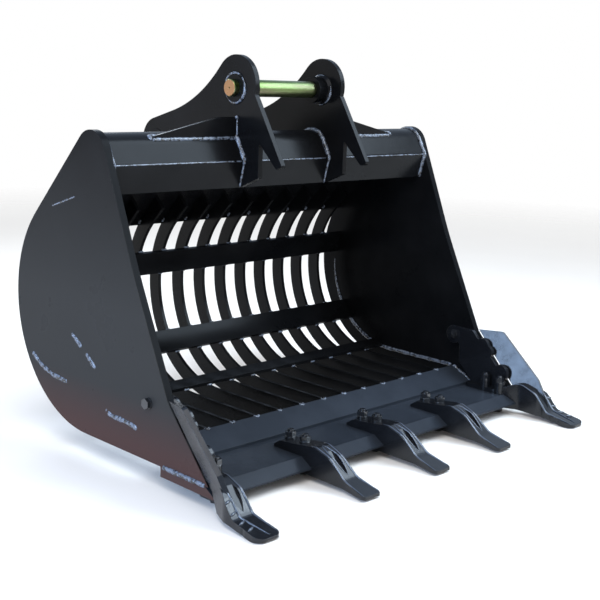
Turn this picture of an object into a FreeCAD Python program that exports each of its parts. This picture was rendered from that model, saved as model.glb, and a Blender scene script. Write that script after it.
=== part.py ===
"""Skeleton rock bucket for an excavator: two side plates, a welded rib floor, a lip with teeth, and two pin ears.

Lengths are millimetres. X runs across the bucket, -Y is the open toothed front and +Z is up.
Pieces are drawn from the front end of the floor ribs: y = 0 there, and z = 0 is the top of the floor.
place() then moves each one, so that the origin lies on the ground under the middle of the bucket.
"""
import FreeCAD, Part
import math
import os

# Body
WIDTH = 1200.0                 # outside of the side plates
SIDE_T = 20.0                  # side plate thickness
BOWL_R = 265.0                 # inside radius of the ribs round the heel
FLOOR_RUN = 258.0              # flat floor from the ribs' front end to the heel
BACK_ANGLE = 45.0              # slope of the back above the heel
SIDE_HEEL_EXTRA = 9.0          # the side plates' heel radius over the ribs' outer one
SIDE_BACK_GAP = 7.0            # side plate's edge beyond the back plate
SIDE_TAB_R = 60.0              # round top of the side plates
FRONT_MIN_Y, FRONT_MIN_Z = -75.0, 121.0      # where the front edge turns towards the lip
FRONT_BOW_R = 1500.0

# Ribs and the bars across them
RIB_COUNT = 13
RIB_T = 10.0
RIB_DEPTH = 42.0
RIB_TOP_RUN = 62.0             # straight run up the back plate
BAR_T = 10.0
BACK_BAR_W = 70.0
BACK_BAR_ANGLES = (13.3, -39.7)
FLOOR_BAR_W = 46.0
FLOOR_BAR_ANGLE = -78.0

# Back plate and the top beam
BACK_T = 10.0
BACK_WRAP = 11.0               # degrees of heel that the back plate covers
BEAM_FOLD_R = 12.0
CLOSING_T = 10.0

# The shoulder is the outside of the back plate where the round heel ends: the top is measured from it
SLOPE = math.radians(BACK_ANGLE)
HEEL_Y, HEEL_Z = FLOOR_RUN, BOWL_R
RIB_OUT_R = BOWL_R + RIB_DEPTH
SHOULDER_Y = HEEL_Y + (RIB_OUT_R + BACK_T) * math.cos(SLOPE)
SHOULDER_Z = HEEL_Z + (RIB_OUT_R + BACK_T) * math.sin(SLOPE)
FRONT_BOW_Y, FRONT_BOW_Z = SHOULDER_Y - 418.0, SHOULDER_Z - 79.0     # the front edge is bowed back through here
FRONT_TOP_Y, FRONT_TOP_Z = SHOULDER_Y - 304.0, SHOULDER_Z + 201.0
TAB_Y, TAB_Z = SHOULDER_Y - 250.0, SHOULDER_Z + 175.0                # centre of the side plates' round top
BEAM_FACE_Y, BEAM_FACE_TOP = SHOULDER_Y - 322.0, SHOULDER_Z + 154.0  # top edge of the beam's front face
BEAM_FOOT_Y, BEAM_FOOT_Z = SHOULDER_Y - 304.0, SHOULDER_Z + 82.0     # its bottom edge, set back
CLOSING_Z = BEAM_FOOT_Z + 5.0

# Lip
LIP_RUN = 72.0
LIP_DROP = 34.0
LIP_REAR_T = 20.0
EDGE_T = 25.0
EDGE_REAR = 51.0
EDGE_REACH = 245.0
BEVEL_RUN = 33.0
BEVEL_LAND = 5.0
LIP_CORNER_Y = -224.0          # front foot of the side plates

# Ears, bosses and pin
EAR_GAP = 306.0
EAR_T = 15.0
PIN_R = 22.5
PIN_FIT = 0.05
PIN_Y, PIN_Z = SHOULDER_Y - 279.0, SHOULDER_Z + 341.0
HEAD_RISE = 8.0                # centre of the ear's head above the pin
HEAD_R = 78.0
LINK_Y, LINK_Z = SHOULDER_Y + 58.0, SHOULDER_Z + 184.0
TAIL_R = 64.0
HEAD_END_ANGLE = 43.0          # where the head's round runs into the back of the ear
TAIL_END_ANGLE = 74.0
SADDLE_R = 430.0
TAIL_FOOT_ANGLE = -60.0
EAR_FOOT_Y = SHOULDER_Y - 42.0 # where the tail's lower edge lands on the back plate
EAR_FRONT_Y = SHOULDER_Y - 375.0
EAR_FRONT_LOW, EAR_FRONT_TOP = SHOULDER_Z + 112.0, SHOULDER_Z + 204.0
HORN_TIP_Y, HORN_TIP_Z = SHOULDER_Y - 464.0, SHOULDER_Z + 147.0
HORN_HEEL_Y, HORN_HEEL_Z = SHOULDER_Y - 442.0, SHOULDER_Z + 140.0
NECK_Y, NECK_Z = PIN_Y - 76.0, PIN_Z - 16.0
BOSS_R = 36.0
BOSS_INNER = 40.0              # boss inside the ear
BOSS_OUTER = 5.0               # boss outside the ear
LINK_BOSS_R = 33.0
LINK_BOSS_OUTER = 1.0
BOSS_WELD = 8.0
PIN_OVERHANG = 17.0
PIN_CHAMFER = 2.0
PIN_CENTRE_R = 2.5
PIN_CENTRE_DEPTH = 5.0
PIN_HEAD_R = 34.0
PIN_HEAD_T = 9.0
GUSSET_T = 10.0                # outboard gussets on the beam
GUSSET_Y = SHOULDER_Y - 289.0
GUSSET_TOP, GUSSET_TIP = SHOULDER_Z + 266.0, SHOULDER_Z + 218.0
GUSSET_FLAT = 60.0             # level top, from the ear
GUSSET_END = 134.0             # from the gusset's end to the side plate

# Teeth
TOOTH_PITCH = 266.0
TOOTH_W = 54.0
TOOTH_WAIST = 45.0
TOOTH_TIP_W = 60.0
JAW_REAR = 113.0               # rear end of the upper jaw
JAW_T = 26.0
TOOTH_REACH = 422.0
NOSE = TOOTH_REACH - EDGE_REACH
CREST_Y, CREST_Z = -EDGE_REACH - 0.05 * NOSE, -8.0
BROW_Y, BROW_Z = -EDGE_REACH - 0.31 * NOSE, -24.0
TOE_Y, TOE_Z = -EDGE_REACH - 0.605 * NOSE, -66.0     # where the steep front ends in the flat tip
CHIN_Y, CHIN_Z = -EDGE_REACH - 0.51 * NOSE, -86.0
TIP_DROP = 97.0                # underside of the lowest tips below the floor
TIP_RISE = 5.0                 # centre tips above the corner tips
TIP_T = 8.0
LOWER_JAW_T = 16.0
LOWER_JAW_REAR = 170.0
THROAT_CLEAR = 0.5
POCKET_W = 20.0
POCKET_DEPTH = 11.0
POCKET_LIP = 7.0

# Corner teeth
CORNER_JAW_IN = 40.0           # inner side of the jaw from the side plate's inner face
CORNER_JAW_REAR = 79.0
CORNER_JAW_T = 12.0
CORNER_BOLT_IN = 27.5          # bolts from the side plate's inner face
CORNER_SEAT_T = 33.0           # pads under their nuts
NOSE_IN, NOSE_OUT = 8.0, 40.0  # nose inside and outside of the side plate's faces
CORNER_REACH = 438.0
CORNER_NOSE = CORNER_REACH - EDGE_REACH
CORNER_CREST_Y, CORNER_CREST_Z = -EDGE_REACH - 0.04 * CORNER_NOSE, -3.0
CORNER_BROW_Y = -EDGE_REACH - 0.33 * CORNER_NOSE
CORNER_TOE_Y, CORNER_TOE_Z = -EDGE_REACH - 0.53 * CORNER_NOSE, -70.0
CORNER_CHIN_Y = -EDGE_REACH - 0.47 * CORNER_NOSE
LOBE_R, LOBE_PITCH = 16.0, 28.0
LOBE_DEPTH = 4.0
CORNER_POCKET_W = 26.0
CORNER_POCKET_IN = 26.0        # middle of the pocket from the nose's inner side
FLANGE_T = 12.0
FLANGE_FRONT_Y = -EDGE_REACH + 37.0
LUG_R = 28.0
SIDE_BOLT_Y, SIDE_BOLT_Z = -5.0, 102.0
WING_T = 13.0
WING_ANGLE = 20.6
WING_GAP = 7.0                 # from the side plate's front edge to the wing
WING_TOP_W, WING_LOW_W = 60.0, 76.0
WING_TOP_RUN, WING_LOW_RUN = 47.0, 225.0
WING_LENGTH = 245.0

# Tooth bolts: head below, nut above
BOLT_R = 8.0
BOLT_HOLE = 0.5
BOLT_FRONT, BOLT_REAR = 195.0, 144.0
BOLT_AF = 24.0
BOLT_HEAD_T = 10.0
NUT_T = 13.0
THREAD_END = 5.0
WASHER_R = 13.5
WASHER_T = 3.0
SEAT_R = 14.5

# Derived places
INSIDE = WIDTH / 2 - SIDE_T
RIB_PITCH = 2 * INSIDE / (RIB_COUNT + 1)
EDGE_TOP = -RIB_DEPTH
EDGE_BOTTOM = EDGE_TOP - EDGE_T
CORNER_X = INSIDE - CORNER_BOLT_IN
EAR_INNER = EAR_GAP / 2
EAR_OUTER = EAR_INNER + EAR_T
BORE_R = PIN_R + PIN_FIT
HOLE_R = BOLT_R + BOLT_HOLE
BACK_Y = LINK_Y + TAIL_R
MIDDLE_Y = (BACK_Y - CORNER_REACH) / 2
GROUND_Z = -TIP_DROP


def direction(degrees):
    """Unit (y, z) at an angle above the rearward axis."""
    a = math.radians(degrees)
    return math.cos(a), math.sin(a)


def polar(centre, radius, degrees):
    c, s = direction(degrees)
    return centre[0] + radius * c, centre[1] + radius * s


def cross_point(p, d, q, e):
    """Where the line through p along d meets the line through q along e."""
    det = d[0] * -e[1] + d[1] * e[0]
    t = ((q[0] - p[0]) * -e[1] + (q[1] - p[1]) * e[0]) / det
    return p[0] + t * d[0], p[1] + t * d[1]


def corner_arc(before, at, after, radius):
    """Start, middle and end of the arc that rounds the corner at `at`."""
    a = (before[0] - at[0], before[1] - at[1])
    b = (after[0] - at[0], after[1] - at[1])
    la, lb = math.hypot(*a), math.hypot(*b)
    a = (a[0] / la, a[1] / la)
    b = (b[0] / lb, b[1] / lb)
    half = math.acos(max(-1.0, min(1.0, a[0] * b[0] + a[1] * b[1]))) / 2
    run = radius / math.tan(half)
    mid = (a[0] + b[0], a[1] + b[1])
    lm = math.hypot(*mid)
    reach = radius / math.sin(half) - radius
    start = (at[0] + a[0] * run, at[1] + a[1] * run)
    end = (at[0] + b[0] * run, at[1] + b[1] * run)
    middle = (at[0] + mid[0] / lm * reach, at[1] + mid[1] / lm * reach)
    return start, middle, end


def loop_face(points, to3d):
    """Closed face through (u, v) or (u, v, radius) points, mapped to space by to3d."""
    count = len(points)
    edges = []
    corners = []
    for i, p in enumerate(points):
        if len(p) == 3 and p[2] > 0:
            corners.append(corner_arc(points[i - 1][:2], p[:2], points[(i + 1) % count][:2], p[2]))
        else:
            corners.append((p[:2],))
    for i, corner in enumerate(corners):
        if len(corner) == 3:
            edges.append(Part.Arc(*[to3d(q) for q in corner]).toShape())
        start, end = to3d(corner[-1]), to3d(corners[(i + 1) % count][0])
        if start.distanceToPoint(end) > 1e-4:
            edges.append(Part.LineSegment(start, end).toShape())
    return Part.Face(Part.Wire(Part.__sortEdges__(edges)))


def across(points, x0, x1):
    """Plate with a (y, z) outline that fills x0 to x1."""
    face = loop_face(points, lambda q: FreeCAD.Vector(x0, q[0], q[1]))
    return face.extrude(FreeCAD.Vector(x1 - x0, 0, 0))


def along(points, y0, y1):
    """Plate with an (x, z) outline that fills y0 to y1."""
    face = loop_face(points, lambda q: FreeCAD.Vector(q[0], y0, q[1]))
    return face.extrude(FreeCAD.Vector(0, y1 - y0, 0))


def upright(points, z0, z1):
    """Block with an (x, y) outline that fills z0 to z1."""
    face = loop_face(points, lambda q: FreeCAD.Vector(q[0], q[1], z0))
    return face.extrude(FreeCAD.Vector(0, 0, z1 - z0))


def rod(radius, x0, x1, y, z):
    return Part.makeCylinder(radius, x1 - x0, FreeCAD.Vector(x0, y, z), FreeCAD.Vector(1, 0, 0))


def disc(radius, z0, z1, x, y):
    return Part.makeCylinder(radius, z1 - z0, FreeCAD.Vector(x, y, z0))


def bent_plate(path, thickness, x0, x1):
    """Folded plate: path is its outer side, with each fold's outer radius, and the metal lies to its right."""
    dirs = []
    for p, q in zip(path, path[1:]):
        length = math.hypot(q[0] - p[0], q[1] - p[1])
        dirs.append(((q[0] - p[0]) / length, (q[1] - p[1]) / length))
    shifts = [(d[1] * thickness, -d[0] * thickness) for d in dirs]
    inner = [(path[0][0] + shifts[0][0], path[0][1] + shifts[0][1])]
    for i in range(1, len(path) - 1):
        before = (path[i][0] + shifts[i - 1][0], path[i][1] + shifts[i - 1][1])
        after = (path[i][0] + shifts[i][0], path[i][1] + shifts[i][1])
        at = cross_point(before, dirs[i - 1], after, dirs[i])
        inner.append((at[0], at[1], max(path[i][2] - thickness, 0.0)))
    inner.append((path[-1][0] + shifts[-1][0], path[-1][1] + shifts[-1][1]))
    return across(list(path) + inner[::-1], x0, x1)


def slope_line(radius):
    """A point of the back's slope at this distance from the heel's centre, and its upward direction."""
    return polar((HEEL_Y, HEEL_Z), radius, BACK_ANGLE), direction(BACK_ANGLE + 90)


def foot_corner(radius, z):
    """Where the back's slope at this radius, carried down, meets the level z."""
    point, up = slope_line(radius)
    return cross_point(point, up, (0.0, z), (1.0, 0.0))


def beam_path():
    """Outer side of the folded beam, from the face's bottom up over the top to the back plate."""
    point, up = slope_line(RIB_OUT_R + BACK_T)
    face_top = (BEAM_FACE_Y, BEAM_FACE_TOP)
    top_r = (point[0] - TAB_Y) * math.cos(SLOPE) + (point[1] - TAB_Z) * math.sin(SLOPE)
    to_tab = math.atan2(TAB_Z - BEAM_FACE_TOP, TAB_Y - BEAM_FACE_Y)
    rise = to_tab + math.asin(top_r / math.hypot(TAB_Z - BEAM_FACE_TOP, TAB_Y - BEAM_FACE_Y))
    ridge = cross_point(face_top, (math.cos(rise), math.sin(rise)), point, up)
    seam = polar((TAB_Y, TAB_Z), top_r, BACK_ANGLE)
    return [(BEAM_FOOT_Y, BEAM_FOOT_Z), face_top + (BEAM_FOLD_R,), ridge + (top_r,), seam]


def side_plate():
    """Right side plate."""
    heel = foot_corner(RIB_OUT_R + BACK_T + SIDE_BACK_GAP, EDGE_TOP)
    lean = (FRONT_TOP_Y - FRONT_BOW_Y, FRONT_TOP_Z - FRONT_BOW_Z)
    ridge = cross_point((FRONT_TOP_Y, FRONT_TOP_Z), lean, heel, direction(BACK_ANGLE + 90))
    outline = [
        (LIP_CORNER_Y, EDGE_TOP),
        (FRONT_MIN_Y, FRONT_MIN_Z),
        (FRONT_BOW_Y, FRONT_BOW_Z, FRONT_BOW_R),
        ridge + (SIDE_TAB_R,),
        heel + (RIB_OUT_R + SIDE_HEEL_EXTRA,),
    ]
    plate = across(outline, INSIDE, WIDTH / 2)
    return plate.cut(rod(HOLE_R, INSIDE - 1, WIDTH / 2 + 1, SIDE_BOLT_Y, SIDE_BOLT_Z))


def rib(x):
    up = direction(BACK_ANGLE + 90)
    inner, outer = polar((HEEL_Y, HEEL_Z), BOWL_R, BACK_ANGLE), polar((HEEL_Y, HEEL_Z), RIB_OUT_R, BACK_ANGLE)
    top_in = (inner[0] + up[0] * RIB_TOP_RUN, inner[1] + up[1] * RIB_TOP_RUN)
    top_out = (outer[0] + up[0] * RIB_TOP_RUN, outer[1] + up[1] * RIB_TOP_RUN)
    outline = [
        (0.0, 0.0),
        foot_corner(BOWL_R, 0.0) + (BOWL_R,),
        top_in,
        top_out,
        foot_corner(RIB_OUT_R, EDGE_TOP) + (RIB_OUT_R,),
        (-EDGE_REAR, EDGE_TOP),
        (0.0, -LIP_REAR_T),
    ]
    return across(outline, x - RIB_T / 2, x + RIB_T / 2)


def cross_bar(angle, width):
    """Flat bar laid along the ribs' inner edges, from side plate to side plate."""
    half = math.degrees(width / 2 / BOWL_R)
    heel = (HEEL_Y, HEEL_Z)
    inner_r = BOWL_R - BAR_T
    edges = []
    for radius in (BOWL_R, inner_r):
        arc = [polar(heel, radius, angle + a) for a in (-half, 0, half)]
        edges.append(Part.Arc(*[FreeCAD.Vector(-INSIDE, *p) for p in arc]).toShape())
    for a in (-half, half):
        ends = [FreeCAD.Vector(-INSIDE, *polar(heel, radius, angle + a)) for radius in (BOWL_R, inner_r)]
        edges.append(Part.LineSegment(*ends).toShape())
    face = Part.Face(Part.Wire(Part.__sortEdges__(edges)))
    return face.extrude(FreeCAD.Vector(2 * INSIDE, 0, 0))


def back_plate():
    radius = RIB_OUT_R + BACK_T
    heel = (HEEL_Y, HEEL_Z)
    end = polar(heel, radius, BACK_ANGLE - BACK_WRAP)
    start = polar(heel, radius, BACK_ANGLE)
    corner = cross_point(start, direction(BACK_ANGLE + 90), end, direction(BACK_ANGLE - BACK_WRAP + 90))
    seam = beam_path()[-1]
    return bent_plate([seam, corner + (radius,), end], BACK_T, -INSIDE, INSIDE)


def top_beam():
    return bent_plate(beam_path(), BACK_T, -INSIDE, INSIDE)


def closing_plate():
    """Underside of the box beam."""
    level = (1.0, 0.0)
    face = (BEAM_FACE_Y - BEAM_FOOT_Y, BEAM_FACE_TOP - BEAM_FOOT_Z)
    length = math.hypot(*face)
    inside = (BEAM_FOOT_Y + BACK_T * face[1] / length, BEAM_FOOT_Z - BACK_T * face[0] / length)
    point, up = slope_line(RIB_OUT_R)
    corners = []
    for z in (CLOSING_Z, CLOSING_Z + CLOSING_T):
        corners.append((cross_point(inside, face, (0.0, z), level), cross_point(point, up, (0.0, z), level)))
    (low, back_low), (high, back_high) = corners
    return across([low, back_low, back_high, high], -INSIDE, INSIDE)


def lip_plate():
    outline = [
        (0.0, 0.0),
        (-LIP_RUN, -LIP_DROP),
        (-LIP_RUN, EDGE_TOP),
        (-EDGE_REAR, EDGE_TOP),
        (0.0, -LIP_REAR_T),
    ]
    return across(outline, -INSIDE, INSIDE)


def cutting_edge():
    """Full-width edge under the lip plate and the side plates, bevelled at the front."""
    outline = [
        (-EDGE_REAR, EDGE_TOP),
        (-EDGE_REACH + BEVEL_RUN, EDGE_TOP),
        (-EDGE_REACH, EDGE_BOTTOM + BEVEL_LAND),
        (-EDGE_REACH, EDGE_BOTTOM),
        (-EDGE_REAR, EDGE_BOTTOM),
    ]
    edge = across(outline, -WIDTH / 2, WIDTH / 2)
    for x in tooth_places():
        for y in (-BOLT_FRONT, -BOLT_REAR):
            edge = edge.cut(disc(HOLE_R, EDGE_BOTTOM - 1, EDGE_TOP + 1, x, y))
    return edge


def body_block():
    """Solid behind the outer surface of the beam and the back plate, for cutting what seats on them."""
    point, up = slope_line(RIB_OUT_R + BACK_T)
    path = beam_path()
    low = cross_point(point, up, (0.0, 0.0), (1.0, 0.0))
    foot = path[0]
    outline = [(foot[0], 0.0), foot, path[1], path[2], low]
    return across(outline, -WIDTH, WIDTH)


def ear():
    """Right pin ear, from the forward horn over the pin to the link end."""
    pin, link = (PIN_Y, PIN_Z), (LINK_Y, LINK_Z)
    crown = (PIN_Y, PIN_Z + HEAD_RISE)
    head = polar(crown, HEAD_R, HEAD_END_ANGLE)
    tail = polar(link, TAIL_R, TAIL_END_ANGLE)
    saddle = cross_point(head, direction(HEAD_END_ANGLE - 90), tail, direction(TAIL_END_ANGLE - 90))
    surface, up = slope_line(RIB_OUT_R + BACK_T)
    foot = cross_point(surface, up, (EAR_FOOT_Y, 0.0), (0.0, 1.0))
    outline = [
        head,
        saddle + (SADDLE_R,),
        tail,
        link,
        polar(link, TAIL_R, TAIL_FOOT_ANGLE),
        foot,
        (BEAM_FOOT_Y + BACK_T, BEAM_FOOT_Z),
        (BEAM_FOOT_Y, BEAM_FOOT_Z),
        (EAR_FRONT_Y, EAR_FRONT_LOW, 6.0),
        (EAR_FRONT_Y, EAR_FRONT_TOP, 3.0),
        (HORN_HEEL_Y, HORN_HEEL_Z, 6.0),
        (HORN_TIP_Y, HORN_TIP_Z, 6.0),
        (NECK_Y, NECK_Z),
        polar(crown, HEAD_R, math.degrees(math.atan2(NECK_Z - crown[1], NECK_Y - PIN_Y))),
        crown,
    ]
    plate = across(outline, EAR_INNER, EAR_OUTER)
    rounds = [rod(HEAD_R, EAR_INNER, EAR_OUTER, *crown), rod(TAIL_R, EAR_INNER, EAR_OUTER, *link)]
    plate = plate.fuse(rounds).removeSplitter().cut(body_block())
    for (y, z), radius in ((pin, BOSS_R), (link, LINK_BOSS_R)):
        plate = plate.cut(rod(radius, EAR_INNER - 1, EAR_OUTER + 1, y, z))
    return plate


def pin_boss():
    """Bush for the dipper pin through the right ear, with its weld fillets, standing out further inside."""
    start, end = EAR_INNER - BOSS_INNER, EAR_OUTER + BOSS_OUTER
    bush = rod(BOSS_R, start, end, PIN_Y, PIN_Z)
    for x, toward, rise in ((EAR_INNER, -1, BOSS_WELD), (EAR_OUTER, 1, BOSS_OUTER - 1.0)):
        at, axis = FreeCAD.Vector(x, PIN_Y, PIN_Z), FreeCAD.Vector(toward, 0, 0)
        bush = bush.fuse(Part.makeCone(BOSS_R + BOSS_WELD, BOSS_R, rise, at, axis))
    return bush.cut(rod(BORE_R, start - 1, end + 1, PIN_Y, PIN_Z))


def link_boss():
    """Empty bush for the link pin through the right ear."""
    start, end = EAR_INNER - BOSS_INNER, EAR_OUTER + LINK_BOSS_OUTER
    return rod(LINK_BOSS_R, start, end, LINK_Y, LINK_Z).cut(rod(BORE_R, start - 1, end + 1, LINK_Y, LINK_Z))


def dipper_pin():
    """Plated pin: plain end on the left, head on the right, lathe centres in both ends."""
    left = -(EAR_OUTER + BOSS_OUTER + PIN_OVERHANG)
    head = EAR_OUTER + BOSS_OUTER
    right = head + PIN_HEAD_T
    profile = [
        (left, 0.0),
        (left, PIN_R - PIN_CHAMFER),
        (left + PIN_CHAMFER, PIN_R),
        (head, PIN_R),
        (head, PIN_HEAD_R),
        (right - PIN_CHAMFER, PIN_HEAD_R),
        (right, PIN_HEAD_R - PIN_CHAMFER),
        (right, 0.0),
    ]
    face = loop_face(profile, lambda q: FreeCAD.Vector(q[0], PIN_Y, PIN_Z + q[1]))
    pin = face.revolve(FreeCAD.Vector(0, PIN_Y, PIN_Z), FreeCAD.Vector(1, 0, 0), 360)
    for x, toward in ((left, 1), (right, -1)):
        at, axis = FreeCAD.Vector(x, PIN_Y, PIN_Z), FreeCAD.Vector(toward, 0, 0)
        pin = pin.cut(Part.makeCone(PIN_CENTRE_R, 0, PIN_CENTRE_DEPTH, at, axis))
    return pin


def outboard_gusset():
    """Upright plate on the beam, tapering outwards from the right ear."""
    base = TAB_Z
    outline = [
        (EAR_OUTER, base),
        (EAR_OUTER, GUSSET_TOP),
        (EAR_OUTER + GUSSET_FLAT, GUSSET_TOP),
        (INSIDE - GUSSET_END, GUSSET_TIP),
        (INSIDE - GUSSET_END, base),
    ]
    return along(outline, GUSSET_Y, GUSSET_Y + GUSSET_T).cut(body_block())


def tooth_places():
    return [-CORNER_X, -TOOTH_PITCH, 0.0, TOOTH_PITCH, CORNER_X]


def fork_rear(jaw_rear):
    """Rear half of a tooth's side view: the lower jaw, the throat round the lip's nose and the upper jaw's seat."""
    return [
        (-LOWER_JAW_REAR, EDGE_BOTTOM - LOWER_JAW_T, 5.0),
        (-LOWER_JAW_REAR, EDGE_BOTTOM),
        (-EDGE_REACH - THROAT_CLEAR, EDGE_BOTTOM),
        (-EDGE_REACH - THROAT_CLEAR, EDGE_BOTTOM + BEVEL_LAND),
        (-EDGE_REACH + BEVEL_RUN, EDGE_TOP),
        (-jaw_rear, EDGE_TOP),
    ]


def centre_side():
    """Side view of a centre tooth, from the upper jaw over the crest to the chisel tip."""
    return [
        (-JAW_REAR, EDGE_TOP + 6.0),
        (-JAW_REAR - 20.0, EDGE_TOP + JAW_T - 6.0, 15.0),
        (-BOLT_FRONT, EDGE_TOP + JAW_T, 200.0),
        (CREST_Y, CREST_Z, 30.0),
        (BROW_Y, BROW_Z, 60.0),
        (TOE_Y, TOE_Z, 50.0),
        (-TOOTH_REACH, -TIP_DROP + TIP_RISE + TIP_T),
        (-TOOTH_REACH, -TIP_DROP + TIP_RISE),
        (-TOOTH_REACH + 16.0, -TIP_DROP + TIP_RISE),
        (CHIN_Y, CHIN_Z, 150.0),
        (-EDGE_REACH, EDGE_BOTTOM - LOWER_JAW_T, 60.0),
    ] + fork_rear(JAW_REAR)


def bolt_seats(shape, x, jaw_t):
    """Round pads under the nuts of a jaw, faced off level, with the bolt holes through them."""
    top = EDGE_TOP + jaw_t
    for y in (-BOLT_FRONT, -BOLT_REAR):
        shape = shape.fuse(disc(SEAT_R, EDGE_TOP, top, x, y))
        shape = shape.cut(disc(SEAT_R, top, top + TIP_DROP, x, y))
        shape = shape.cut(disc(HOLE_R, -2 * TIP_DROP, TIP_DROP, x, y))
    return shape.removeSplitter()


def centre_tooth(x):
    """Forked tooth over the lip: waisted, with a pocket between two ridges and a flared chisel tip."""
    side = across(centre_side(), x - TOOTH_TIP_W, x + TOOTH_TIP_W)
    plan = []
    for hand in (1, -1):
        half = [
            (x + hand * TOOTH_W / 2, -JAW_REAR),
            (x + hand * TOOTH_W / 2, CREST_Y, 80.0),
            (x + hand * TOOTH_WAIST / 2, TOE_Y, 60.0),
            (x + hand * TOOTH_TIP_W / 2, -TOOTH_REACH + 8.0, 8.0),
            (x + hand * (TOOTH_TIP_W / 2 - 5.0), -TOOTH_REACH),
        ]
        plan += half if hand == 1 else half[::-1]
    tooth = side.common(upright(plan, -2 * TIP_DROP, TIP_DROP))
    rim, end = (CREST_Y - 0.08 * NOSE, CREST_Z), (TOE_Y + 0.07 * NOSE, TOE_Z + POCKET_LIP)
    return bolt_seats(tooth.cut(pocket(x, POCKET_W, rim, (BROW_Y, BROW_Z), end)), x, JAW_T)


def pocket(x, width, rim, brow, floor_end):
    """Scoop between a tooth's ridges: a lens in plan from the rim to the floor's end, deepest under the brow."""
    middle = (rim[0] + floor_end[0]) / 2
    lens = []
    for hand in (1, -1):
        ends = (rim[0], floor_end[0]) if hand == 1 else (floor_end[0], rim[0])
        arc = [FreeCAD.Vector(x, ends[0], 0), FreeCAD.Vector(x + hand * width / 2, middle, 0),
               FreeCAD.Vector(x, ends[1], 0)]
        lens.append(Part.Arc(*arc).toShape())
    face = Part.Face(Part.Wire(lens))
    column = face.extrude(FreeCAD.Vector(0, 0, TIP_DROP))
    column.translate(FreeCAD.Vector(0, 0, floor_end[1] - POCKET_LIP))
    floor = across([
        (rim[0] + POCKET_LIP, rim[1] + 10.0),
        rim,
        (brow[0], brow[1] - POCKET_DEPTH, 30.0),
        floor_end,
        (floor_end[0], rim[1] + 10.0),
    ], x - width, x + width)
    return column.common(floor)


def front_line():
    """Foot, direction and length of the side plates' straight lower front edge."""
    foot = (LIP_CORNER_Y, EDGE_TOP)
    run = (FRONT_MIN_Y - LIP_CORNER_Y, FRONT_MIN_Z - EDGE_TOP)
    length = math.hypot(*run)
    return foot, (run[0] / length, run[1] / length), length


def clear_of_plate(reach):
    """Everything behind a line in front of the side plates' lower front edge, outside their inner face."""
    foot, along_edge, length = front_line()
    ahead = (-along_edge[1], along_edge[0])
    base = (foot[0] + ahead[0] * WING_GAP, foot[1] + ahead[1] * WING_GAP)
    low = (base[0] - along_edge[0] * 2 * length, base[1] - along_edge[1] * 2 * length)
    high = (base[0] + along_edge[0] * 2 * length, base[1] + along_edge[1] * 2 * length)
    return across([low, high, (high[0] + 1.0, low[1])], INSIDE, INSIDE + reach)


def corner_side():
    """Side view of a corner tooth."""
    return [
        (-CORNER_JAW_REAR, EDGE_TOP + CORNER_JAW_T),
        (-BOLT_FRONT + 10.0, EDGE_TOP + CORNER_JAW_T, 60.0),
        (CORNER_CREST_Y, CORNER_CREST_Z, 45.0),
        (CORNER_BROW_Y, BROW_Z, 40.0),
        (CORNER_TOE_Y, CORNER_TOE_Z, 22.0),
        (-CORNER_REACH, -TIP_DROP + TIP_T + 3.0),
        (-CORNER_REACH, -TIP_DROP + 3.0, 3.0),
        (-CORNER_REACH + 30.0, -TIP_DROP, 20.0),
        (CORNER_CHIN_Y, CHIN_Z, 150.0),
        (-EDGE_REACH, EDGE_BOTTOM - LOWER_JAW_T, 60.0),
    ] + fork_rear(CORNER_JAW_REAR)


def corner_tooth():
    """Right corner tooth: fork over the lip's end, flange inside the side plate, wing in front of it."""
    inner, nose = INSIDE - CORNER_JAW_IN, INSIDE - NOSE_IN
    outer = WIDTH / 2 + NOSE_OUT
    side = across(corner_side(), 0, WIDTH)
    plan = [
        (inner, -CORNER_JAW_REAR, 8.0),
        (INSIDE, -CORNER_JAW_REAR),
        (INSIDE, LIP_CORNER_Y),
        (WIDTH / 2, LIP_CORNER_Y - 14.0),
        (outer - 6.0, CORNER_CHIN_Y + 18.0, 60.0),
        (outer, -CORNER_REACH, 22.0),
        (nose, -CORNER_REACH, 18.0),
        (nose, CORNER_CREST_Y, 40.0),
        (inner, -BOLT_FRONT + 14.0, 30.0),
    ]
    tooth = side.common(upright(plan, -2 * TIP_DROP, TIP_DROP))
    rim = (CORNER_CREST_Y - 0.12 * CORNER_NOSE, CORNER_CREST_Z)
    end = (CORNER_TOE_Y + POCKET_LIP, CORNER_TOE_Z + POCKET_LIP)
    scoop = pocket(nose + CORNER_POCKET_IN, CORNER_POCKET_W, rim, (CORNER_BROW_Y, BROW_Z), end)
    tooth = tooth.cut([clear_of_plate(WIDTH), edge_end(), scoop] + lobe_cuts(nose, outer))
    tooth = tooth.fuse([side_flange(), outer_wing()]).removeSplitter()
    return bolt_seats(tooth, CORNER_X, CORNER_SEAT_T)


def edge_end():
    """Room for the lip's end beside the fork."""
    z0, z1 = EDGE_BOTTOM - LOWER_JAW_T, EDGE_TOP
    y0 = -EDGE_REACH - THROAT_CLEAR
    outline = [(y0, z0 - TIP_DROP), (y0, EDGE_BOTTOM + BEVEL_LAND), (LIP_CORNER_Y, z1), (0.0, z1), (0.0, z0 - TIP_DROP)]
    return across(outline, INSIDE, WIDTH)


def lobe_cuts(inner, outer):
    """Scallops down both sides of a corner tooth's nose."""
    cuts = []
    for i in range(3):
        y = CORNER_TOE_Y + LOBE_PITCH * (0.75 - i)
        for x in (inner - LOBE_R + LOBE_DEPTH, outer + LOBE_R - LOBE_DEPTH):
            cuts.append(disc(LOBE_R, -2 * TIP_DROP, TIP_DROP, x, y))
    return cuts


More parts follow.
